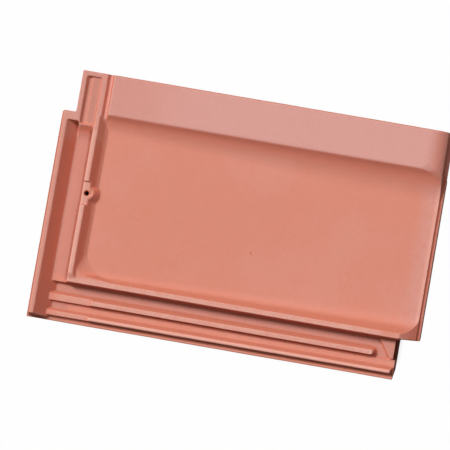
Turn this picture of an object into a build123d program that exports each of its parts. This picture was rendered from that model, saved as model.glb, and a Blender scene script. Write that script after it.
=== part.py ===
"""Interlocking clay roof tile, pressed and fired in one piece.

X runs from the head (upslope end) to the foot (eaves end), Y from the water
channels to the covering roll, and Z up. The origin is under the middle of the
tile, on the floor that its nibs and its foot rib rest on.
"""
import os
from math import cos, radians, sin, tan

from build123d import *

# Overall size, in millimetres
tile_length = 432.0
tile_width = 277.5
overrun = 20.0

# Heights: the pan falls a little from the head to the foot, the other levels lie level
nib_depth = 20.0
pan_thickness = 12.0
pan_fall = 7.5
head_floor_fall = 3.0
channel_fall = 4.8
rib_step = 2.0
head_rib_rise = 7.5
side_rim_rise = 4.5
roll_rise = 9.5
roll_thickness = 9.3
shelf_thickness = 10.0
drain_rise = 1.2

# Side interlock, as widths one after the other from the outer edge
base_ledge_width = 5.0
outer_wall_run = 1.6
lower_rib_width = 2.8
lower_rib_run = 4.7
drain_channel_width = 7.3
upper_rib_outer_run = 1.8
upper_rib_width = 5.1
upper_rib_inner_run = 4.4
rim_channel_width = 10.2
rim_wall_run = 2.1
side_rim_width = 5.9
rib_edge_radius = 1.0
channel_corner_radius = 2.0
rim_edge_radius = 1.2
rim_inner_radius = 1.5

# Ends of the side interlock
rib_step_from_head = 67.9
channel_end_from_foot = 22.3
channel_end_run = 3.9
channel_corner_length = 13.0
channel_corner_run = 2.8
upper_rib_end_from_foot = 46.0
nose_swell = 0.3
nose_lean = 2.3
lower_rib_end_from_foot = 29.5
lower_rib_end_run = 3.7
deflector_rise = 3.4
deflector_long_side = 21.9
deflector_short_side = 5.5
deflector_width = 23.7
deflector_draft = 20.0
deflector_radius = 2.0

# Head interlock, as distances from the head edge
head_ledge_width = 1.9
head_face_run = 0.8
head_rim_width = 5.1
head_slope_angle = 38.5
head_rim_end_ledge = 2.5
head_rim_end_run = 2.2
inner_rib_from_head = 37.7
inner_rib_width = 5.3
inner_rib_end_from_rim = 4.2
inner_rib_end_run = 6.0
notch_length = 16.3
notch_width = 47.3
strip_width = 9.3
strip_wall_run = 3.3
head_end_from_crest = 14.4
head_end_angle = 45.0
head_end_radius = 17.5

# Trough: its rounded sides, given for the head and for the foot, and its head wall
rim_head_angle = 50.0
rim_head_radius = 9.0
rim_foot_angle = 52.0
rim_foot_radius = 28.0
flank_head_angle = 45.0
flank_head_radius = 22.0
flank_foot_angle = 46.0
flank_foot_radius = 46.0
crest_radius = 3.0
head_wall_angle = 38.5
head_wall_ease_angle = 28.0
head_wall_ease_rise = 2.6
head_wall_sink = 1.4
head_wall_side_shift = 9.0
head_wall_side_spread = 5.0
head_wall_corner_radius = 28.0
head_wall_top_shift = 2.1
head_wall_top_spread = 4.1
head_wall_top_radius = 1.0
head_wall_length = 48.0

# Roll, and the groove across its head
roll_width = 44.2
roll_draft = 0.7
roll_edge_radius = 2.0
roll_start_from_head = 51.4
roll_start_run = 1.6
roll_groove_width = 2.6
roll_groove_wall_run = 2.9
roll_groove_fall = 4.8

# Foot: the roll and the rim round down to one crest
foot_crest_from_foot = 6.3
foot_crest_rise = 0.5
roll_round_length = 23.0
roll_round_fall = 8.0
roll_round_angle = 0.0
roll_end_run = 2.2
roll_corner_length = 26.9
roll_corner_turn = 45.0
roll_corner_ease_length = 9.0
roll_corner_ease_angle = 12.0
roll_corner_angle = 27.0
roll_corner_radius = 20.0
roll_corner_reach = 36.0
rim_round_length = 19.5
rim_round_fall = 11.5
rim_round_angle = 27.0
rim_end_run = 0.5
foot_face_run = 0.5
foot_face_fall = 2.0
foot_ledge_width = 3.4
foot_ledge_fall = 0.5
foot_wall_length = 14.0
foot_side_run = 1.5
foot_corner_run = 2.0

# Pocket in the head of the roll, which the foot of the tile above lies over
pocket_wall_width = 5.0
pocket_side_wall_width = 5.2
pocket_wall_run = 3.3
pocket_groove_width = 2.7
pocket_groove_run = 1.7
pocket_rib_run = 0.6
pocket_floor_fall = 2.0
pocket_groove_fall = 3.2

# Nail boss and its hole
boss_from_head = 43.2
boss_side = 5.0
boss_fall = 2.0
boss_top_radius = 6.6
boss_base_radius = 12.7
boss_base_shift = 2.8
boss_gap_width = 26.3
nail_hole_radius = 2.5
nail_rim_radius = 3.6

# Underside of the roll, with room for the two ribs of the tile beside it
skirt_depth = 16.1
skirt_width = 7.0
groove_draft_run = 2.0
first_groove_width = 13.0
cover_rib_depth = 6.8
cover_rib_width = 7.0
second_groove_width = 8.5
head_roof_depth = 1.8
head_roof_length = 46.0
under_edge_radius = 1.0

# Supports: two hanging nibs at the head and a rib along the foot
nib_from_head = 31.0
nib_length = 18.0
nib_width = 38.0
nib_spacing = 110.0
nib_draft_run = 5.0
nib_edge_radius = 2.0
nib_root = 3.0
foot_rib_length = 12.0
foot_rib_draft_run = 3.0
foot_rib_inset = 6.0

# Edges of the plan
head_x = -tile_length / 2
foot_x = tile_length / 2
channel_y = -tile_width / 2
roll_y = tile_width / 2

# Levels above the floor
pan_head_z = nib_depth + pan_thickness
pan_foot_z = pan_head_z - pan_fall
under_foot_z = nib_depth - pan_fall
head_floor_z = pan_head_z - head_floor_fall
channel_z = head_floor_z - channel_fall
rib_z = head_floor_z + rib_step
head_rib_z = pan_head_z + head_rib_rise
side_rim_z = pan_head_z + side_rim_rise
roll_z = pan_head_z + roll_rise
roll_roof_z = roll_z - roll_thickness
shelf_z = channel_z - shelf_thickness
drain_z = channel_z + drain_rise
skirt_z = roll_z - skirt_depth
cover_rib_z = roll_roof_z - cover_rib_depth
boss_z = head_rib_z - boss_fall
foot_crest_z = pan_foot_z + foot_crest_rise
top_z = roll_z + overrun

# Places across the tile, from the outer edge of the channels inwards
lower_rib_outer_y = channel_y + base_ledge_width + outer_wall_run
lower_rib_inner_y = lower_rib_outer_y + lower_rib_width
drain_outer_y = lower_rib_inner_y + lower_rib_run
drain_inner_y = drain_outer_y + drain_channel_width
upper_rib_outer_y = drain_inner_y + upper_rib_outer_run
upper_rib_inner_y = upper_rib_outer_y + upper_rib_width
rim_channel_outer_y = upper_rib_inner_y + upper_rib_inner_run
rim_channel_inner_y = rim_channel_outer_y + rim_channel_width
rim_outer_y = rim_channel_inner_y + rim_wall_run
rim_inner_y = rim_outer_y + side_rim_width
roll_edge_y = roll_y - roll_draft
crest_y = roll_edge_y - roll_width
middle_y = rim_inner_y / 2 + crest_y / 2
notch_y = roll_y - notch_width
strip_y = notch_y - strip_width
head_end_y = crest_y - head_end_from_crest

# Places across the underside of the roll, from its outer edge inwards
skirt_inner_y = roll_y - skirt_width
first_roof_y = skirt_inner_y - groove_draft_run
cover_rib_outer_y = first_roof_y - first_groove_width
cover_rib_low_y = cover_rib_outer_y - groove_draft_run
cover_rib_inner_y = cover_rib_low_y - cover_rib_width
second_roof_y = cover_rib_inner_y - groove_draft_run
second_roof_end_y = second_roof_y - second_groove_width

# Places along the tile
head_rim_outer_x = head_x + head_ledge_width + head_face_run
head_rim_inner_x = head_rim_outer_x + head_rim_width
head_slope_end_x = head_rim_inner_x + (head_rib_z - channel_z) / tan(radians(head_slope_angle))
inner_rib_x = head_x + inner_rib_from_head
inner_rib_end_x = inner_rib_x + inner_rib_width
notch_x = head_x + notch_length
pocket_x = notch_x + pocket_wall_width
roll_start_x = head_x + roll_start_from_head
roll_groove_end_x = roll_start_x - roll_start_run
roll_groove_x = roll_groove_end_x - roll_groove_width
rib_step_x = head_x + rib_step_from_head
channel_end_x = foot_x - channel_end_from_foot
foot_crest_x = foot_x - foot_crest_from_foot
foot_wall_x = foot_x - foot_wall_length
boss_x = head_x + boss_from_head


def section(plane, corners):
    """A closed face on a plane, from corners given as (across, up, rounding)."""
    with BuildSketch(plane) as drawn:
        with BuildLine():
            FilletPolyline(
                *[(across, up) for across, up, rounding in corners],
                radius=[rounding for across, up, rounding in corners],
                close=True,
            )
        make_face()
    return drawn.sketch


def across(x):
    """The plane across the tile at a place along it: Y to the right, Z up."""
    return Plane.YZ.offset(x)


def along(y):
    """The plane along the tile at a place across it: X to the right, Z up."""
    return Plane.XZ.offset(-y)


def run_of(rise, angle):
    """How far a slope of this angle runs while it rises."""
    return rise / tan(radians(angle))


def tile_section(x, pan_z, rim_angle, rim_radius, flank_angle, flank_radius):
    """The whole cross section, from the channels over the trough to the roll."""
    under_z = pan_z - pan_thickness
    flank_under_y = second_roof_end_y - run_of(roll_roof_z - under_z, flank_angle)
    return section(
        across(x),
        [
            (channel_y, shelf_z, under_edge_radius),
            (channel_y, drain_z, rib_edge_radius),
            (channel_y + base_ledge_width, drain_z, rib_edge_radius),
            (lower_rib_outer_y, rib_z, rib_edge_radius),
            (lower_rib_inner_y, rib_z, rib_edge_radius),
            (drain_outer_y, drain_z, channel_corner_radius),
            (drain_inner_y, drain_z, channel_corner_radius),
            (upper_rib_outer_y, rib_z, rib_edge_radius),
            (upper_rib_inner_y, rib_z, rib_edge_radius),
            (rim_channel_outer_y, channel_z, channel_corner_radius),
            (rim_channel_inner_y, channel_z, channel_corner_radius),
            (rim_outer_y, side_rim_z, rim_edge_radius),
            (rim_inner_y, side_rim_z, rim_inner_radius),
            (rim_inner_y + run_of(side_rim_z - pan_z, rim_angle), pan_z, rim_radius),
            (crest_y - run_of(roll_z - pan_z, flank_angle), pan_z, flank_radius),
            (crest_y, roll_z, crest_radius),
            (roll_edge_y, roll_z, roll_edge_radius),
            (roll_y, skirt_z, under_edge_radius),
            (skirt_inner_y, skirt_z, under_edge_radius),
            (first_roof_y, roll_roof_z, under_edge_radius),
            (cover_rib_outer_y, roll_roof_z, under_edge_radius),
            (cover_rib_low_y, cover_rib_z, under_edge_radius),
            (cover_rib_inner_y, cover_rib_z, under_edge_radius),
            (second_roof_y, roll_roof_z, under_edge_radius),
            (second_roof_end_y, roll_roof_z, under_edge_radius),
            (flank_under_y, under_z, flank_radius),
            (rim_inner_y, under_z, 0),
            (rim_outer_y, shelf_z, 0),
        ],
    )


def foot_cutter(y, start_z, round_length, round_fall, round_angle, end_run):
    """Side view of what is cut from the foot, below a top that rounds down to the crest."""
    round_x = foot_crest_x - round_length
    start = (round_x, start_z)
    end = (foot_crest_x - end_run, start_z - round_fall)
    crest = (foot_crest_x, foot_crest_z)
    face = (foot_crest_x + foot_face_run, foot_crest_z - foot_face_fall)
    ledge = (face[0] + foot_ledge_width, face[1] - foot_ledge_fall)
    with BuildSketch(along(y)) as drawn:
        with BuildLine():
            TangentArc(start, end, tangent=(cos(radians(round_angle)), -sin(radians(round_angle))))
            Polyline(
                end,
                crest,
                face,
                ledge,
                (foot_x, 0),
                (foot_x + overrun, 0),
                (foot_x + overrun, top_z),
                (round_x, top_z),
                start,
            )
        make_face()
    return drawn.sketch


# Hollow of the trough behind its head wall, which eases into the floor and into the side rim
head_wall_floor_z = pan_head_z - head_wall_sink
head_wall_ease_z = head_wall_floor_z + head_wall_ease_rise
head_wall_ease_x = inner_rib_end_x + run_of(head_rib_z - head_wall_ease_z, head_wall_angle)
head_wall_foot_x = head_wall_ease_x + run_of(head_wall_ease_rise, head_wall_ease_angle)
head_wall_end_x = inner_rib_x + head_wall_length
ease_share = head_wall_ease_rise / (head_rib_z - head_wall_floor_z)


def eased(low, high):
    """The value at the height of the ease, between those at the floor and at the rib."""
    return low + (high - low) * ease_share


with BuildPart() as head_hollow:
    ease_shift = eased(head_wall_side_shift, head_wall_top_shift)
    ease_spread = eased(head_wall_side_spread, head_wall_top_spread)
    ease_radius = eased(head_wall_corner_radius, head_wall_top_radius)
    outlines = [
        (
            head_wall_floor_z,
            head_wall_foot_x,
            head_wall_side_shift,
            head_wall_side_spread,
            head_wall_corner_radius,
        ),
        (head_wall_ease_z, head_wall_ease_x, ease_shift, ease_spread, ease_radius),
        (head_rib_z, inner_rib_end_x, head_wall_top_shift, head_wall_top_spread, head_wall_top_radius),
    ]
    loft(
        [
            section(
                Plane.XY.offset(outline_z),
                [
                    (outline_x, rim_inner_y + shift, corner_radius),
                    (head_wall_end_x, rim_inner_y + shift - spread, 0),
                    (head_wall_end_x, crest_y, 0),
                    (outline_x, crest_y, 0),
                ],
            )
            for outline_z, outline_x, shift, spread, corner_radius in outlines
        ],
        ruled=True,
    )

# Head wall of the trough, with the inner head rib as its top
with BuildPart() as head_wall:
    extrude(
        section(
            along(crest_y),
            [
                (inner_rib_x, channel_z, 0),
                (head_wall_end_x, channel_z, 0),
                (head_wall_end_x, head_rib_z, 0),
                (inner_rib_x, head_rib_z, rib_edge_radius),
            ],
        ),
        amount=crest_y - rim_outer_y - rim_edge_radius,
    )
    add(head_hollow.part, mode=Mode.SUBTRACT)
    # The rib steps down to the level of the side rim
    rib_end_y = rim_inner_y + inner_rib_end_from_rim
    extrude(
        section(
            across(inner_rib_x),
            [
                (rim_outer_y, side_rim_z, 0),
                (rib_end_y - inner_rib_end_run, side_rim_z, 0),
                (rib_end_y, head_rib_z, 0),
                (rib_end_y, top_z, 0),
                (rim_outer_y, top_z, 0),
            ],
        ),
        amount=head_wall_length,
        mode=Mode.SUBTRACT,
    )
    # In the corner the wall reaches no higher than the side rim
    rim_level_x = inner_rib_end_x + run_of(head_rib_z - side_rim_z, head_wall_angle)
    extrude(
        section(
            along(crest_y),
            [
                (inner_rib_end_x, head_rib_z, 0),
                (rim_level_x, side_rim_z, 0),
                (head_wall_end_x, side_rim_z, 0),
                (head_wall_end_x, top_z, 0),
                (inner_rib_end_x, top_z, 0),
            ],
        ),
        amount=crest_y - rim_outer_y,
        mode=Mode.SUBTRACT,
    )

with BuildPart() as roof_tile:
    # The whole section, from behind the head rim to the foot
    loft(
        [
            tile_section(
                head_rim_inner_x,
                pan_head_z,
                rim_head_angle,
                rim_head_radius,
                flank_head_angle,
                flank_head_radius,
            ),
            tile_section(
                foot_x,
                pan_foot_z,
                rim_foot_angle,
                rim_foot_radius,
                flank_foot_angle,
                flank_foot_radius,
            ),
        ],
        ruled=True,
    )

    # Thicker roof under the pocket, where the ribs of the tile beside it are lower
    extrude(
        section(
            across(notch_x),
            [
                (second_roof_end_y, roll_roof_z - head_roof_depth, 0),
                (skirt_inner_y, roll_roof_z - head_roof_depth, 0),
                (skirt_inner_y, head_rib_z, 0),
                (second_roof_end_y, head_rib_z, 0),
            ],
        ),
        amount=head_roof_length,
    )

    # Head of the roll, filled out to the head channel
    head_end_foot_y = head_end_y - run_of(head_rib_z - head_floor_z, head_end_angle)
    extrude(
        section(
            across(head_rim_inner_x),
            [
                (head_end_foot_y - head_end_radius, channel_z, 0),
                (second_roof_end_y, channel_z, 0),
                (second_roof_end_y, head_rib_z, 0),
                (head_end_foot_y - head_end_radius, head_rib_z, 0),
            ],
        ),
        amount=inner_rib_end_x - head_rim_inner_x,
    )

    # Head wall of the trough, lowered at the nail boss
    add(head_wall.part)
    extrude(
        section(
            across(inner_rib_x),
            [
                (boss_side - boss_gap_width / 2, boss_z, 0),
                (boss_side + boss_gap_width / 2, boss_z, 0),
                (boss_side + boss_gap_width / 2, top_z, 0),
                (boss_side - boss_gap_width / 2, top_z, 0),
            ],
        ),
        amount=head_wall_length,
        mode=Mode.SUBTRACT,
    )
    with BuildSketch(Plane.XY.offset(head_wall_floor_z)) as boss_base:
        with Locations((boss_x + boss_base_shift, boss_side)):
            Circle(boss_base_radius)
    with BuildSketch(Plane.XY.offset(boss_z)) as boss_top:
        with Locations((boss_x, boss_side)):
            Circle(boss_top_radius)
    loft([boss_base.sketch, boss_top.sketch])

    # Head channel, with a rounded end below the pocket and a steep one behind the strip
    extrude(
        section(
            across(head_x - overrun),
            [
                (channel_y - overrun, head_floor_z, 0),
                (strip_y - strip_wall_run, head_floor_z, 0),
                (strip_y, head_rib_z, 0),
                (strip_y, top_z, 0),
                (channel_y - overrun, top_z, 0),
            ],
        ),
        amount=pocket_x - head_x + overrun,
        mode=Mode.SUBTRACT,
    )
    pocket_floor_z = head_rib_z - pocket_floor_fall
    extrude(
        section(
            across(pocket_x),
            [
                (channel_y - overrun, head_floor_z, 0),
                (head_end_foot_y, head_floor_z, head_end_radius),
                (head_end_y, head_rib_z, 0),
                (head_end_y, top_z, 0),
                (channel_y - overrun, top_z, 0),
            ],
        ),
        amount=inner_rib_x - pocket_x,
        mode=Mode.SUBTRACT,
    )

    # Ribs of the side interlock, lower beside the head
    extrude(
        section(
            across(inner_rib_x),
            [
                (channel_y - overrun, head_floor_z, 0),
                (rim_channel_inner_y, head_floor_z, 0),
                (rim_channel_inner_y, top_z, 0),
                (channel_y - overrun, top_z, 0),
            ],
        ),
        amount=rib_step_x - inner_rib_x,
        mode=Mode.SUBTRACT,
    )

    # Head of the roll, down to the level of the head rib, with a groove before the roll
    extrude(
        section(
            along(roll_y + overrun),
            [
                (head_x - overrun, head_rib_z, 0),
                (roll_groove_x - roll_groove_wall_run, head_rib_z, rib_edge_radius),
                (roll_groove_x, roll_z - roll_groove_fall, 0),
                (roll_groove_end_x, roll_z - roll_groove_fall, 0),
                (roll_start_x, roll_z, 0),
                (roll_start_x, top_z, 0),
                (head_x - overrun, top_z, 0),
            ],
        ),
        amount=roll_y + overrun - middle_y,
        mode=Mode.SUBTRACT,
    )

    # Pocket, with a groove behind its head wall
    pocket_side_y = roll_edge_y - pocket_side_wall_width
    pocket_groove_x = pocket_x + pocket_wall_run
    pocket_groove_end_x = pocket_groove_x + pocket_groove_width
    pocket_groove_z = head_rib_z - pocket_groove_fall
    extrude(
        section(
            along(pocket_side_y),
            [
                (pocket_x, head_rib_z, 0),
                (pocket_groove_x, pocket_groove_z, 0),
                (pocket_groove_end_x, pocket_groove_z, 0),
                (pocket_groove_end_x + pocket_groove_run, pocket_floor_z, 0),
                (inner_rib_x, pocket_floor_z, 0),
                (inner_rib_x + pocket_rib_run, head_rib_z, 0),
            ],
        ),
        amount=pocket_side_y - head_end_y,
        mode=Mode.SUBTRACT,
    )

    # Notch in the corner between the head rim and the roll
    extrude(
        section(
            Plane.XY,
            [
                (head_x - overrun, notch_y, 0),
                (notch_x, notch_y, 0),
                (notch_x, roll_y + overrun, 0),
                (head_x - overrun, roll_y + overrun, 0),
            ],
        ),
        amount=top_z,
        mode=Mode.SUBTRACT,
    )

    # Head rim with its long slope down to the head channel
    extrude(
        section(
            along(notch_y),
            [
                (head_x, shelf_z, under_edge_radius),
                (head_x, drain_z, 0),
                (head_x + head_ledge_width, drain_z, 0),
                (head_rim_outer_x, head_rib_z, rib_edge_radius),
                (head_rim_inner_x, head_rib_z, rib_edge_radius),
                (head_slope_end_x, channel_z, 0),
                (head_slope_end_x, shelf_z, 0),
            ],
        ),
        amount=notch_y - channel_y,
    )
    rim_end_y = channel_y + head_rim_end_ledge
    extrude(
        section(
            across(head_x - overrun),
            [
                (channel_y - overrun, drain_z, 0),
                (rim_end_y, drain_z, 0),
                (rim_end_y + head_rim_end_run, head_rib_z, 0),
                (rim_end_y + head_rim_end_run, top_z, 0),
                (channel_y - overrun, top_z, 0),
            ],
        ),
        amount=head_slope_end_x - head_x + overrun,
        mode=Mode.SUBTRACT,
    )

    # Nail hole
    with Locations((boss_x, boss_side, boss_z)):
        CounterSinkHole(nail_hole_radius, nail_rim_radius)

    # Ends of the ribs: a round nose on the upper one, a slanted end on the lower one
    nose_y = drain_inner_y / 2 + rim_channel_outer_y / 2
    nose_radius = rim_channel_outer_y - nose_y
    nose_top_y = upper_rib_outer_y / 2 + upper_rib_inner_y / 2
    nose_x = foot_x - upper_rib_end_from_foot - nose_radius
    nose_top_x = nose_x - nose_lean
    with BuildSketch(Plane.XY.offset(channel_z)) as nose_cutter:
        with Locations((nose_top_x, nose_y)):
            Rectangle(
                foot_x - nose_top_x,
                rim_channel_outer_y - drain_inner_y,
                align=(Align.MIN, Align.CENTER),
            )
    extrude(nose_cutter.sketch, amount=overrun, mode=Mode.SUBTRACT)
    with BuildSketch(Plane.XY.offset(channel_z)) as nose_base:
        with Locations((nose_x, nose_y)):
            Circle(nose_radius + nose_swell)
    with BuildSketch(Plane.XY.offset(rib_z)) as nose_top:
        with Locations((nose_top_x, nose_top_y)):
            Circle(upper_rib_inner_y - nose_top_y + nose_swell)
    loft([nose_base.sketch, nose_top.sketch])
    lower_rib_end_x = foot_x - lower_rib_end_from_foot
    extrude(
        section(
            along(drain_outer_y),
            [
                (lower_rib_end_x, rib_z, 0),
                (lower_rib_end_x + lower_rib_end_run, drain_z, 0),
                (foot_x, drain_z, 0),
                (foot_x, top_z, 0),
                (lower_rib_end_x, top_z, 0),
            ],
        ),
        amount=drain_outer_y - channel_y + overrun,
        mode=Mode.SUBTRACT,
    )

    # Pad that turns the water of the rim channel towards the drain
    deflector_end_x = channel_end_x - channel_end_run
    deflector_outer_y = rim_outer_y - deflector_width
    extrude(
        section(
            Plane.XY.offset(channel_z),
            [
                (deflector_end_x - deflector_long_side, rim_outer_y, deflector_radius),
                (deflector_end_x - deflector_short_side, deflector_outer_y, deflector_radius),
                (deflector_end_x, deflector_outer_y, deflector_radius),
                (deflector_end_x, rim_outer_y, deflector_radius),
            ],
        ),
        amount=deflector_rise,
        taper=deflector_draft,
    )

    # End of the side interlock, set back from the foot
    extrude(
        section(
            along(rim_outer_y),
            [
                (channel_end_x - channel_end_run, rib_z, 0),
                (channel_end_x, shelf_z, 0),
                (channel_end_x, 0, 0),
                (foot_x + overrun, 0, 0),
                (foot_x + overrun, top_z, 0),
                (channel_end_x - channel_end_run, top_z, 0),
            ],
        ),
        amount=rim_outer_y - channel_y + overrun,
        mode=Mode.SUBTRACT,
    )
    extrude(
        section(
            Plane.XY,
            [
                (channel_end_x - channel_corner_run, channel_y, 0),
                (channel_end_x, channel_y + channel_corner_length, 0),
                (channel_end_x + overrun, channel_y + channel_corner_length, 0),
                (channel_end_x + overrun, channel_y - overrun, 0),
                (channel_end_x - channel_corner_run, channel_y - overrun, 0),
            ],
        ),
        amount=top_z,
        mode=Mode.SUBTRACT,
    )

    # Wall that closes the hollow of the roll at the foot
    foot_flank_run = run_of(roll_roof_z - under_foot_z, flank_foot_angle)
    foot_flank_round = flank_foot_radius * tan(radians(flank_foot_angle / 2))
    extrude(
        section(
            across(foot_wall_x),
            [
                (second_roof_end_y - foot_flank_run - foot_flank_round, under_foot_z, 0),
                (roll_y, under_foot_z, under_edge_radius),
                (roll_y, skirt_z, 0),
                (skirt_inner_y, roll_roof_z + under_edge_radius, 0),
                (second_roof_end_y, roll_roof_z + under_edge_radius, 0),
            ],
        ),
        amount=foot_wall_length,
    )

    # Supports: two nibs that hang the tile on its batten, and the foot rib
    nib_x = head_x + nib_from_head
    for side in (-1, 1):
        extrude(
            section(
                along(side * nib_spacing / 2 + nib_width / 2),
                [
                    (nib_x, nib_depth + nib_root, 0),
                    (nib_x + nib_draft_run, 0, nib_edge_radius),
                    (nib_x + nib_length, 0, nib_edge_radius),
                    (nib_x + nib_length, nib_depth - nib_root, 0),
                    (nib_x + nib_length + nib_root, nib_depth, 0),
                    (nib_x + nib_length + nib_root, nib_depth + nib_root, 0),
                ],
            ),
            amount=nib_width,
        )
    extrude(
        section(
            along(crest_y - foot_rib_inset),
            [
                (foot_x - foot_rib_length, under_foot_z + nib_root, 0),
                (foot_x - foot_rib_length + foot_rib_draft_run, 0, under_edge_radius),
                (foot_x, 0, 0),
                (foot_x, under_foot_z + nib_root, 0),
            ],
        ),
        amount=crest_y - rim_outer_y - foot_rib_inset,
    )

    # Foot rounding: a high one on the roll, a low one on the rim
    extrude(
        foot_cutter(
            roll_y + overrun,
            roll_z,
            roll_round_length,
            roll_round_fall,
            roll_round_angle,
            roll_end_run,
        ),
        amount=roll_y + overrun - middle_y,
        mode=Mode.SUBTRACT,
    )
    extrude(
        foot_cutter(
            middle_y,
            side_rim_z,
            rim_round_length,
            rim_round_fall,
            rim_round_angle,
            rim_end_run,
        ),
        amount=middle_y - channel_y + overrun,
        mode=Mode.SUBTRACT,
    )

    # Corner between the crest of the roll and the foot, taken off by a slanted cut
    turn = radians(roll_corner_turn)
    ease_fall = roll_corner_ease_length * tan(radians(roll_corner_ease_angle))
    slant_length = roll_corner_reach - roll_corner_ease_length
    slant_fall = slant_length * tan(radians(roll_corner_angle))
    corner_plane = Plane(
        origin=(foot_crest_x - roll_corner_length, crest_y, roll_z),
        x_dir=(cos(turn), -sin(turn), 0),
        z_dir=(-sin(turn), -cos(turn), 0),
    )
    extrude(
        section(
            corner_plane,
            [
                (0, 0, 0),
                (roll_corner_ease_length, -ease_fall, roll_corner_radius),
                (roll_corner_reach, -ease_fall - slant_fall, 0),
                (roll_corner_reach, overrun, 0),
                (0, overrun, 0),
            ],
        ),
        amount=roll_width,
        both=True,
        mode=Mode.SUBTRACT,
    )

    # Side of the foot next to the channels, drawn in a little, with its corner taken off
    foot_side_y = rim_outer_y + foot_side_run
    extrude(
        section(
            Plane.XY,
            [
                (channel_end_x, rim_outer_y, 0),
                (foot_x - foot_corner_run, foot_side_y, 0),
                (foot_x, foot_side_y + foot_corner_run, 0),
                (foot_x + overrun, foot_side_y + foot_corner_run, 0),
                (foot_x + overrun, rim_outer_y - overrun, 0),
                (channel_end_x, rim_outer_y - overrun, 0),
            ],
        ),
        amount=top_z,
        mode=Mode.SUBTRACT,
    )

roof_tile.part.label = "roof_tile"
os.makedirs("parts", exist_ok=True)
export_step(roof_tile.part, "parts/roof_tile.step")
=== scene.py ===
"""Looks of the clay roof tile: camera and light of the photograph, and the fired clay itself."""
from math import cos, radians, sin

import bpy
import numpy as np
from mathutils import Matrix, Vector


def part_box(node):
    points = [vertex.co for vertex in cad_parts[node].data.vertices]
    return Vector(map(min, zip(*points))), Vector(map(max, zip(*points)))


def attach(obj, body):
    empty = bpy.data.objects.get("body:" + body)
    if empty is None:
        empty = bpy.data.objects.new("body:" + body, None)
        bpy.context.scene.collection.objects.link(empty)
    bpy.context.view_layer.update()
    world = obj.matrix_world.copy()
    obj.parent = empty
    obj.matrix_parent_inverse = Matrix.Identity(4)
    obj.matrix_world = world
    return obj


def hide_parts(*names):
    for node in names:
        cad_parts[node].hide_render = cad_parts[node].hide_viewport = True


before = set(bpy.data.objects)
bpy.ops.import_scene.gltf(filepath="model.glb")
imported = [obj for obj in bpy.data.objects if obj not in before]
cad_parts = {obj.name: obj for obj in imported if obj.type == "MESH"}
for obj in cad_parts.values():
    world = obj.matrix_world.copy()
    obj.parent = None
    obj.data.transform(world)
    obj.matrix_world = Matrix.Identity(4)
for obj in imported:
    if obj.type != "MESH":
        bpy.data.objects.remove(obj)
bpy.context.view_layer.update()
low_corner, high_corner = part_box("roof_tile")
HEAD_END = low_corner[0]
FOOT_END = high_corner[0]

# Camera: a long lens almost straight above the tile, which lies turned in the picture
PICTURE_WIDTH = 450
FOCAL_PIXELS = 2279.69
SENSOR_WIDTH = 36.0
CAMERA_DISTANCE = 2.5
CAMERA_REACH = 20.0
CAMERA_AIM = Vector((0.0, 0.0, 0.030))
CAMERA_OFFSET = Vector((0.01795, 0.00009, 0.0))
TILT_X = radians(-2.496)
TILT_Y = radians(-2.047)
TURN = radians(-9.794)

# Light: one soft lamp over the head, towards the roll, and a sky that is brightest overhead
KEY_DIRECTION = Vector((-1.0, 0.65, 0.0)).normalized()
KEY_ELEVATION = radians(42.5)
KEY_SPREAD = radians(18)
KEY_STRENGTH = 3.33
SKY_OVERHEAD = 0.70
SKY_POWER = 3.0

# Floor: how much of its white is its own, and where inside the tile's outline it is dark and clear
FLOOR_HALF = 3.0
FLOOR_GREY = 0.3
FLOOR_ROUGHNESS = 0.9
FLOOR_GLOW = 0.988
DARK_MARGIN = 0.038
CLEAR_MARGIN = 0.016

# Mesh of the fired clay: soft edges and a slightly uneven surface
VOXEL = 0.0007
SOFTENING_STEPS = 2
SOFTENING_FACTOR = 0.5
WAVE_SIZE = 0.05
WAVE_HEIGHT = 0.0004
GRAIN_SIZE = 0.006
GRAIN_HEIGHT = 0.00014
CLOUD_DEPTH = 2
TRIANGLE_LIMIT = 190000

# Masks: how far a point stands above the surface around it, near by and farther off, in shares of a
# range, and which faces are walls that are turned away from the lamp
CELL = 0.0008
NEAR = 0.006
FAR = 0.016
RELIEF_RANGE = 0.004
LEAST_FACING = 0.1
LEAST_UPWARD = -0.2
LEAST_WEIGHT = 1e-6
WALL_STEEPNESS = (0.72, 0.35)
WALL_TURN = (-0.15, -0.5)
GRID_SHAPE = tuple(int((high_corner[axis] - low_corner[axis]) / CELL) + 2 for axis in (0, 1))

# Surface of the clay: the scale, detail and roughness of its noises, the depth of its pores, its gloss
NOISES = {
    "clouds": (14.0, 4.0, 0.55),
    "patches": (55.0, 4.0, 0.55),
    "blotches": (120.0, 5.0, 0.65),
    "speckle": (900.0, 2.0, 0.5),
    "pores": (700.0, 4.0, 0.6),
}
PORE_STRENGTH = 0.25
PORE_DEPTH = 0.0004
GLOSS = 0.1

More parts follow.
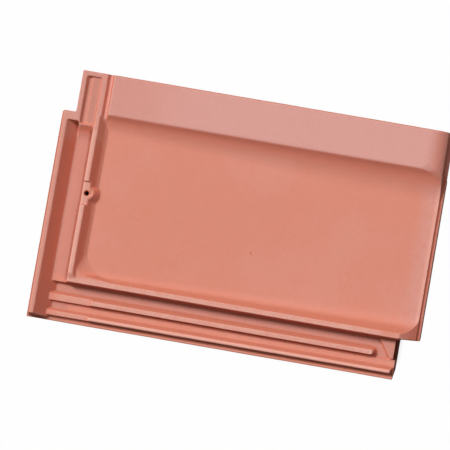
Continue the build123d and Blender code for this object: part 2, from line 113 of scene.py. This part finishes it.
# Tones of the clay, some of them painted light and shade, as linear red, green, blue and alpha
TONES = {
    "base": (0.70, 0.257, 0.182, 1),
    "pink": (0.71, 0.295, 0.225, 1),
    "orange": (0.69, 0.240, 0.160, 1),
    # Painted light and shade: steep and flank are shaded tones for slopes turned from the lamp,
    # steep_lit a lit tone for slopes turned towards it
    "steep": (0.84, 0.216, 0.136, 1),
    "steep_lit": (0.58, 0.178, 0.110, 1),
    "flank": (0.84, 0.268, 0.180, 1),
    "shade": (0.32, 0.078, 0.040, 1),
    # Painted shade at the end of the channels and on the strip below the pad
    "painted_end_shade": (0.13, 0.024, 0.009, 1),
    "dust": (0.64, 0.300, 0.250, 1),
    # Painted highlight on the foot's crest and on the lower rib's top
    "pale": (0.88, 0.43, 0.35, 1),
    # Painted shade in the channels, on the pocket's floor and on the pad
    "recess_shade": (0.58, 0.240, 0.186, 1),
    # Painted light on the end of the roll
    "roll_end_light": (0.86, 0.34, 0.27, 1),
    # Painted shade on the face of the foot
    "foot_face_shade": (0.59, 0.150, 0.098, 1),
    "roll": (0.70, 0.345, 0.302, 1),
    "bloom": (0.74, 0.38, 0.31, 1),
    # Painted highlight on convex edges
    "edge": (0.86, 0.50, 0.42, 1),
    # Painted shade in inner corners and on the base ledge
    "deep_shade": (0.36, 0.100, 0.060, 1),
    "pale_grain": (0.73, 0.36, 0.28, 1),
    "dark_grain": (0.62, 0.19, 0.12, 1),
}

# Shares of the tones. Each is a product of fades. A fade names what it is measured along, where it
# starts and where it is complete, which along X, Y and Z is in metres of the shared frame, and its
# two shares where they aren't 0 and 1.
SHARES = {
    # Anywhere on the tile
    "clouds": [("clouds", 0.45, 0.70, 0.0, 0.5)],
    "patches": [("patches", 0.50, 0.75, 0.0, 0.4)],
    "broken": [("blotches", 0.30, 0.70, 0.45, 1.0)],
    "raised": [("far_relief", 0.05, 0.80, 0.0, 0.9)],
    # Painted shade in the sunk parts of the channels
    "sunk": [("far_relief", -0.05, -0.50, 0.0, 0.95)],
    # Painted shade in inner corners
    "inner_corner": [("near_relief", -0.08, -0.60)],
    # Painted highlight on convex edges
    "edge_highlight": [("near_relief", 0.12, 0.40, 0.0, 0.32), ("facing", 0.45, 0.75)],
    "steep": [("facing", 0.985, 0.78, 0.0, 0.95)],
    "lit": [("towards_light", 0.05, 0.30)],
    "pale_grain": [("speckle", 0.50, 0.70, 0.0, 0.25)],
    "dark_grain": [("speckle", 0.50, 0.30, 0.0, 0.20)],
    "roughness": [("patches", 0.30, 0.70, 0.68, 0.82)],
    # Head and trough
    "behind_head_rim": [("X", HEAD_END + 0.008, HEAD_END + 0.014, 0.15, 1.0)],
    "head_rim_top": [("Z", 0.0383, 0.0392), ("X", -0.1775, -0.1795, 0.0, 0.55)],
    # Painted shade in the head channel and on the pocket's floor
    "head_channel": [("X", -0.170, -0.176)],
    "pocket": [("Y", 0.080, 0.084), ("X", -0.177, -0.180), ("Z", 0.0388, 0.0380)],
    "trough_floor": [("Y", -0.0880, -0.0865), ("Y", 0.060, 0.050), ("X", -0.1725, -0.1705)],
    "flank": [("Y", 0.055, 0.068)],
    # Roll
    "before_roll": [("Y", 0.078, 0.085, 0.85, 0.25)],
    "roll_top": [("Z", 0.0375, 0.0410), ("Y", 0.080, 0.092)],
    "roll_length": [("X", -0.160, -0.050, 0.6, 1.0), ("X", 0.180, 0.208, 1.0, 0.5)],
    "roll_head": [("X", -0.090, -0.160, 0.0, 0.6)],
    # Painted light on the end of the roll
    "roll_end": [("X", 0.188, 0.203), ("Y", 0.086, 0.096), ("facing", 0.60, 0.75, 0.0, 0.8)],
    "cross_groove": [("X", -0.1700, -0.1685), ("X", -0.1655, -0.1668), ("Y", 0.085, 0.090, 0.0, 0.6)],
    # Foot
    "off_roll": [("Y", 0.070, 0.088, 1.0, 0.0)],
    "foot_band": [("X", FOOT_END - 0.035, FOOT_END - 0.010, 0.0, 0.7)],
    # Painted highlight on the foot's crest
    "foot_crest": [("X", FOOT_END - 0.0125, FOOT_END - 0.0075, 0.0, 0.7)],
    # Painted shade on the face of the foot
    "foot_face_shade": [("X", FOOT_END - 0.0062, FOOT_END - 0.0055)],
    # Side rim, ribs and channels
    # Painted shade in the channel beside the rim
    "rim_channel": [("Y", -0.116, -0.112), ("Y", -0.088, -0.093)],
    # Shares of the painted shade on walls turned away from the lamp
    "outside_rim": [("Y", -0.0985, -0.0955, 0.9, 0.35)],
    "inside_ledge": [("Y", -0.1315, -0.1295, 0.4, 1.0)],
    # Painted shadow of the lower rib on the base ledge
    "base_ledge": [("Y", -0.1370, -0.1350), ("Y", -0.1310, -0.1320, 0.0, 0.75), ("Z", 0.0290, 0.0270)],
    # Painted highlight on the lower rib's top
    "lower_rib_top": [("Y", -0.1260, -0.1275), ("X", -0.194, -0.190), ("Z", 0.0296, 0.0304, 0.0, 0.6)],
    # Pad and end of the channels
    "before_pad": [("X", 0.165, 0.175, 1.0, 0.1)],
    # Painted shade on the pad
    "pad_length": [("X", 0.166, 0.172), ("Z", 0.0290, 0.0283, 0.0, 0.8)],
    "pad_width": [("Y", -0.095, -0.097), ("Y", -0.1195, -0.1175)],
    # Painted shade on the end face of the channels and on the strip below the pad
    "channel_end": [("X", 0.1865, 0.1885)],
    "below_pad": [("X", 0.1879, 0.1886), ("Y", -0.1180, -0.1160)],
    "channel_side": [("Y", -0.0945, -0.0960, 0.0, 0.95)],
}


def add_camera():
    """The camera of the photograph, placed by its tilt, turn and distance."""
    tilt = Matrix.Rotation(TILT_Y, 3, "Y") @ Matrix.Rotation(TILT_X, 3, "X")
    back = (Matrix.Rotation(TURN, 3, "Z") @ tilt).transposed()
    place = CAMERA_AIM + back @ (Vector((0, 0, CAMERA_DISTANCE)) - CAMERA_OFFSET)
    data = bpy.data.cameras.new("camera")
    data.sensor_width = SENSOR_WIDTH
    data.lens = FOCAL_PIXELS / PICTURE_WIDTH * SENSOR_WIDTH
    data.clip_end = CAMERA_REACH
    camera = bpy.data.objects.new("camera", data)
    camera.matrix_world = Matrix.Translation(place) @ back.to_4x4()
    bpy.context.collection.objects.link(camera)
    bpy.context.scene.camera = camera


class Nodes:
    """Short hand for building a node tree."""

    # The sockets of a mix node that belong to colours: share, first and second colour, and result
    MIX_SHARE = 0
    MIX_FIRST = 6
    MIX_SECOND = 7
    MIX_RESULT = 2

    def __init__(self, owner):
        owner.use_nodes = True
        self.nodes = owner.node_tree.nodes
        self.links = owner.node_tree.links

    def set(self, socket, value):
        """Link a socket to another one, or give it a plain value."""
        if isinstance(value, bpy.types.NodeSocket):
            self.links.new(value, socket)
        else:
            socket.default_value = value

    def add(self, kind, values=None, **settings):
        """A new node with its settings and the values of its inputs."""
        node = self.nodes.new(kind)
        for name, value in settings.items():
            setattr(node, name, value)
        for name, value in (values or {}).items():
            self.set(node.inputs[name], value)
        return node

    def math(self, operation, first, second):
        """The result of an operation on two values."""
        node = self.add("ShaderNodeMath", {0: first, 1: second}, operation=operation)
        return node.outputs["Value"]

    def times(self, first, second):
        """The product of two values."""
        return self.math("MULTIPLY", first, second)

    def noise(self, place, scale, detail, roughness):
        """Soft noise between 0 and 1."""
        values = {"Vector": place, "Scale": scale, "Detail": detail, "Roughness": roughness}
        return self.add("ShaderNodeTexNoise", values).outputs["Fac"]

    def ramp(self, value, low, high, to_low=0.0, to_high=1.0):
        """A smooth step from one share to another, between two bounds of a value."""
        values = {"Value": value, "From Min": low, "From Max": high, "To Min": to_low, "To Max": to_high}
        node = self.add("ShaderNodeMapRange", values, interpolation_type="SMOOTHSTEP")
        return node.outputs["Result"]

    def mix(self, share, first, second):
        """A mix of two colours, with a share of the second."""
        node = self.add("ShaderNodeMix", data_type="RGBA")
        self.set(node.inputs[self.MIX_SHARE], share)
        self.set(node.inputs[self.MIX_FIRST], first)
        self.set(node.inputs[self.MIX_SECOND], second)
        return node.outputs[self.MIX_RESULT]

    def attribute(self, name):
        """A mask that is stored on the mesh."""
        return self.add("ShaderNodeAttribute", attribute_name=name).outputs["Fac"]


def add_light():
    """A soft lamp high on the side of the head and the roll, and a sky brightest overhead."""
    towards = KEY_DIRECTION * cos(KEY_ELEVATION) + Vector((0, 0, 1)) * sin(KEY_ELEVATION)
    data = bpy.data.lights.new("key", "SUN")
    data.angle = KEY_SPREAD
    data.energy = KEY_STRENGTH
    lamp = bpy.data.objects.new("key", data)
    lamp.rotation_euler = towards.to_track_quat("Z", "Y").to_euler()
    bpy.context.collection.objects.link(lamp)

    world = bpy.data.worlds.new("sky")
    bpy.context.scene.world = world
    tree = Nodes(world)
    place = tree.add("ShaderNodeTexCoord").outputs["Generated"]
    height = tree.add("ShaderNodeSeparateXYZ", {"Vector": place}).outputs["Z"]
    above = tree.math("POWER", tree.math("MAXIMUM", height, 0.0), SKY_POWER)
    path = tree.add("ShaderNodeLightPath")
    strength = tree.add("ShaderNodeMix", {"Factor": path.outputs["Is Camera Ray"], "B": 1.0})
    tree.set(strength.inputs["A"], tree.times(above, SKY_OVERHEAD))
    background = tree.nodes["Background"]
    background.inputs["Color"].default_value = (1, 1, 1, 1)
    tree.set(background.inputs["Strength"], strength.outputs["Result"])


def add_floor():
    """A wide white floor that keeps a faint shadow of the tile and is dark below it."""
    half = FLOOR_HALF
    mesh = bpy.data.meshes.new("floor")
    corners = [(-half, -half, 0), (half, -half, 0), (half, half, 0), (-half, half, 0)]
    mesh.from_pydata(corners, [], [(0, 1, 2, 3)])
    floor = bpy.data.objects.new("floor", mesh)
    bpy.context.collection.objects.link(floor)

    material = bpy.data.materials.new("floor_white")
    tree = Nodes(material)
    place = tree.add("ShaderNodeTexCoord").outputs["Object"]
    parts = tree.add("ShaderNodeSeparateXYZ", {"Vector": place})
    beside = []
    for axis, name in ((0, "X"), (1, "Y")):
        middle = (low_corner[axis] + high_corner[axis]) / 2
        reach = (high_corner[axis] - low_corner[axis]) / 2
        off_middle = tree.math("ABSOLUTE", tree.math("SUBTRACT", parts.outputs[name], middle), 0.0)
        beside.append(tree.ramp(off_middle, reach - DARK_MARGIN, reach - CLEAR_MARGIN))
    clear = tree.math("MAXIMUM", beside[0], beside[1])
    path = tree.add("ShaderNodeLightPath")
    seen = tree.math("MAXIMUM", path.outputs["Is Camera Ray"], path.outputs["Is Glossy Ray"])
    seen = tree.math("MAXIMUM", seen, path.outputs["Is Transmission Ray"])
    share = tree.times(tree.times(seen, clear), FLOOR_GLOW)
    shader = tree.nodes["Principled BSDF"]
    shader.inputs["Base Color"].default_value = (FLOOR_GREY, FLOOR_GREY, FLOOR_GREY, 1)
    shader.inputs["Roughness"].default_value = FLOOR_ROUGHNESS
    glow = tree.add("ShaderNodeEmission", {"Strength": 1.0})
    layers = {"Fac": share, 1: shader.outputs["BSDF"], 2: glow.outputs["Emission"]}
    mixed = tree.add("ShaderNodeMixShader", layers)
    tree.set(tree.nodes["Material Output"].inputs["Surface"], mixed.outputs["Shader"])
    mesh.materials.append(material)


def cloud_texture(name, size):
    """Soft noise for the uneven surface."""
    texture = bpy.data.textures.new(name, "CLOUDS")
    texture.noise_scale = size
    texture.noise_depth = CLOUD_DEPTH
    return texture


def applied(piece):
    """Replace a piece's mesh by what its modifiers make of it."""
    evaluated = piece.evaluated_get(bpy.context.evaluated_depsgraph_get())
    result = bpy.data.meshes.new_from_object(evaluated)
    piece.modifiers.clear()
    piece.data = result


def blurred(grid, reach):
    """A grid averaged over a square neighbourhood, twice, along both axes."""
    for axis in (0, 1, 0, 1):
        padded = np.concatenate(
            [
                np.repeat(np.take(grid, [0], axis), reach + 1, axis),
                grid,
                np.repeat(np.take(grid, [-1], axis), reach, axis),
            ],
            axis,
        )
        total = np.cumsum(padded, axis)
        size = grid.shape[axis]
        upper = np.take(total, np.arange(size) + 2 * reach + 1, axis)
        lower = np.take(total, np.arange(size), axis)
        grid = (upper - lower) / (2 * reach + 1)
    return grid


def points_and_normals(mesh):
    """Places and normals of a mesh's points, and the grid cell that each of them lies in."""
    count = len(mesh.vertices)
    points = np.empty(count * 3, dtype=np.float32)
    normals = np.empty(count * 3, dtype=np.float32)
    mesh.vertices.foreach_get("co", points)
    mesh.vertices.foreach_get("normal", normals)
    points = points.reshape(count, 3)
    cells = ((points[:, :2] - np.array(low_corner[:2])) / CELL).astype(int)
    return points, normals.reshape(count, 3), np.clip(cells, 0, np.array(GRID_SHAPE) - 1)


def height_grids(mesh):
    """Mean heights around each cell, near by and farther off, for the upper side and the underside."""
    points, normals, cells = points_and_normals(mesh)
    grids = {}
    for side, sign in (("top", 1.0), ("under", -1.0)):
        facing = sign * normals[:, 2] > LEAST_FACING
        flat = cells[facing][:, 0] * GRID_SHAPE[1] + cells[facing][:, 1]
        level = np.full(GRID_SHAPE[0] * GRID_SHAPE[1], -np.inf)
        np.maximum.at(level, flat, sign * points[facing][:, 2])
        height = level.reshape(GRID_SHAPE)
        known = np.isfinite(height)
        for name, width in (("near", NEAR), ("far", FAR)):
            reach = int(width / CELL / 2)
            total = blurred(np.where(known, height, 0.0), reach)
            weight = blurred(known.astype(float), reach)
            grids[side, name] = total / np.maximum(weight, LEAST_WEIGHT)
    return grids


def stepped(values, low, high):
    """A smooth step from 0 at the first bound to 1 at the second."""
    share = np.clip((values - low) / (high - low), 0.0, 1.0)
    return share * share * (3.0 - 2.0 * share)


def write_wall_mask(mesh):
    """Store on each face how far it is a wall that is turned away from the lamp."""
    normals = np.empty(len(mesh.polygons) * 3, dtype=np.float32)
    mesh.polygons.foreach_get("normal", normals)
    normals = normals.reshape(-1, 3)
    steepness = stepped(np.abs(normals[:, 2]), *WALL_STEEPNESS)
    values = steepness * stepped(normals @ np.array(KEY_DIRECTION), *WALL_TURN)
    layer = mesh.attributes.new("turned_off", "FLOAT", "FACE")
    layer.data.foreach_set("value", values.astype(np.float32))


def write_masks(mesh, grids):
    """Store at each point which way it faces and how far it stands above what lies around it."""
    points, normals, cells = points_and_normals(mesh)
    upward = normals[:, 2] > LEAST_UPWARD
    masks = {}
    masks["facing"] = np.abs(normals[:, 2])
    masks["towards_light"] = normals @ np.array(KEY_DIRECTION)
    for name in ("near", "far"):
        top = points[:, 2] - grids["top", name][cells[:, 0], cells[:, 1]]
        under = -points[:, 2] - grids["under", name][cells[:, 0], cells[:, 1]]
        masks[name + "_relief"] = np.where(upward, top, under) / RELIEF_RANGE
    for name, values in masks.items():
        layer = mesh.attributes.new(name, "FLOAT", "POINT")
        layer.data.foreach_set("value", values.astype(np.float32))


def fired_tile():
    """The tile with soft edges and an uneven surface, made from the CAD shape."""
    mesh = bpy.data.objects["roof_tile"].data.copy()
    mesh.materials.clear()
    piece = bpy.data.objects.new("fired_tile", mesh)
    bpy.context.collection.objects.link(piece)
    remesh = piece.modifiers.new("remesh", "REMESH")
    remesh.mode = "VOXEL"
    remesh.voxel_size = VOXEL
    soften = piece.modifiers.new("soften", "SMOOTH")
    soften.factor = SOFTENING_FACTOR
    soften.iterations = SOFTENING_STEPS
    reliefs = (("wave", WAVE_SIZE, WAVE_HEIGHT), ("grain", GRAIN_SIZE, GRAIN_HEIGHT))
    for name, size, height in reliefs:
        relief = piece.modifiers.new(name, "DISPLACE")
        relief.texture = cloud_texture(name, size)
        relief.texture_coords = "LOCAL"
        relief.strength = height
    applied(piece)
    levels = height_grids(piece.data)
    thin = piece.modifiers.new("thin", "DECIMATE")
    thin.ratio = TRIANGLE_LIMIT / (2 * len(piece.data.polygons))
    thin.use_collapse_triangulate = True
    applied(piece)
    piece.data.polygons.foreach_set("use_smooth", np.ones(len(piece.data.polygons), dtype=bool))
    write_masks(piece.data, levels)
    write_wall_mask(piece.data)
    return piece


class Clay(Nodes):
    """The colour of the clay, built up from tones that are laid over one another."""

    def __init__(self, material):
        super().__init__(material)
        place = self.add("ShaderNodeTexCoord").outputs["Object"]
        parts = self.add("ShaderNodeSeparateXYZ", {"Vector": place})
        self.sources = {axis: parts.outputs[axis] for axis in ("X", "Y", "Z")}
        for name in ("facing", "towards_light", "near_relief", "far_relief", "turned_off"):
            self.sources[name] = self.attribute(name)
        for name, settings in NOISES.items():
            self.sources[name] = self.noise(place, *settings)
        self.colour = TONES["base"]

    def share(self, *names):
        """The product of all fades of the named shares."""
        product = None
        for name in names:
            for source, *bounds in SHARES[name]:
                fade = self.ramp(self.sources[source], *bounds)
                product = fade if product is None else self.times(product, fade)
        return product

    def cover(self, share, tone):
        """Lay a tone over the colour so far."""
        self.colour = self.mix(share, self.colour, tone)

    def lay(self, tone, *names):
        """Lay a tone over the colour so far, in the named shares."""
        self.cover(self.share(*names), TONES[tone])


def colour_flat_parts(clay):
    """Pink and orange patches, a pale bloom on what is raised, painted shade in the channels, on the
    pocket's floor and on the pad, dust on the head rim and the head end of the roll, a paler, pinker
    roll top and foot band, a painted highlight on the foot's crest and painted shade on the foot's face.
    """
    clay.lay("pink", "clouds")
    clay.lay("orange", "patches")
    bloom = clay.share("raised", "broken", "behind_head_rim", "before_pad")
    off_floor = clay.math("SUBTRACT", 1.0, clay.share("trough_floor"))
    clay.cover(clay.times(bloom, off_floor), TONES["bloom"])
    channels = clay.math("MAXIMUM", clay.share("head_channel"), clay.share("rim_channel"))
    # Painted shade in the channels and on the pocket's floor
    clay.cover(clay.times(clay.share("sunk"), channels), TONES["recess_shade"])
    clay.lay("recess_shade", "pocket")
    clay.lay("dust", "head_rim_top")
    # Painted shade on the pad
    clay.lay("recess_shade", "pad_length", "pad_width")
    clay.lay("roll", "roll_top", "roll_length")
    clay.lay("dust", "roll_top", "roll_head")
    clay.lay("roll", "foot_band", "broken", "off_roll")
    # Painted highlight on the foot's crest
    clay.lay("pale", "foot_crest", "off_roll")
    # Painted shade on the face of the foot
    clay.lay("foot_face_shade", "foot_face_shade")


def colour_slopes_and_edges(clay):
    """Lit and shaded tones on the slopes, painted light on the end of the roll, painted shade on walls
    turned away from the lamp, in inner corners, on the base ledge and at the end of the channels,
    painted highlights on the lower rib and on convex edges, a paler cross groove, and the grain.
    """
    # Lit and shaded tones on the slopes, by which way they turn to the lamp: painted light and shade
    slope = clay.mix(clay.share("flank"), TONES["steep"], TONES["flank"])
    slope = clay.mix(clay.share("lit"), slope, TONES["steep_lit"])
    clay.cover(clay.share("steep"), slope)
    # Painted light on the end of the roll
    clay.lay("roll_end_light", "roll_end")
    turned_off = clay.sources["turned_off"]
    # Painted shade on walls turned away from the lamp
    clay.cover(clay.times(turned_off, clay.share("outside_rim", "inside_ledge")), TONES["shade"])
    # Painted shade in inner corners
    clay.lay("deep_shade", "inner_corner", "before_roll")
    clay.lay("roll", "cross_groove")
    # Painted shadow of the lower rib on the base ledge
    clay.lay("deep_shade", "base_ledge")
    # Painted highlight on the lower rib's top
    clay.lay("pale", "lower_rib_top")
    # Painted highlights on convex edges
    clay.lay("edge", "edge_highlight", "behind_head_rim")
    clay.lay("pale_grain", "pale_grain")
    clay.lay("dark_grain", "dark_grain")
    # Painted shade on the end face of the channels and on the strip below the pad
    end_face_shade = clay.times(clay.share("channel_end"), turned_off)
    painted_end_shade = clay.math("MAXIMUM", end_face_shade, clay.share("below_pad"))
    clay.cover(clay.times(painted_end_shade, clay.share("channel_side")), TONES["painted_end_shade"])


def clay_material():
    """Matt unglazed fired clay with fine pores, and light and shade painted into its colour."""
    material = bpy.data.materials.new("fired_clay")
    clay = Clay(material)
    colour_flat_parts(clay)
    colour_slopes_and_edges(clay)
    pores = {"Strength": PORE_STRENGTH, "Distance": PORE_DEPTH, "Height": clay.sources["pores"]}
    shader = clay.nodes["Principled BSDF"]
    clay.set(shader.inputs["Base Color"], clay.colour)
    clay.set(shader.inputs["Roughness"], clay.share("roughness"))
    clay.set(shader.inputs["Normal"], clay.add("ShaderNodeBump", pores).outputs["Normal"])
    shader.inputs["Specular IOR Level"].default_value = GLOSS
    return material


add_camera()
add_light()
add_floor()
tile = fired_tile()
tile.data.materials.append(clay_material())
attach(tile, "root")
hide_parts("roof_tile")

bpy.context.scene.view_settings.view_transform = "Standard"
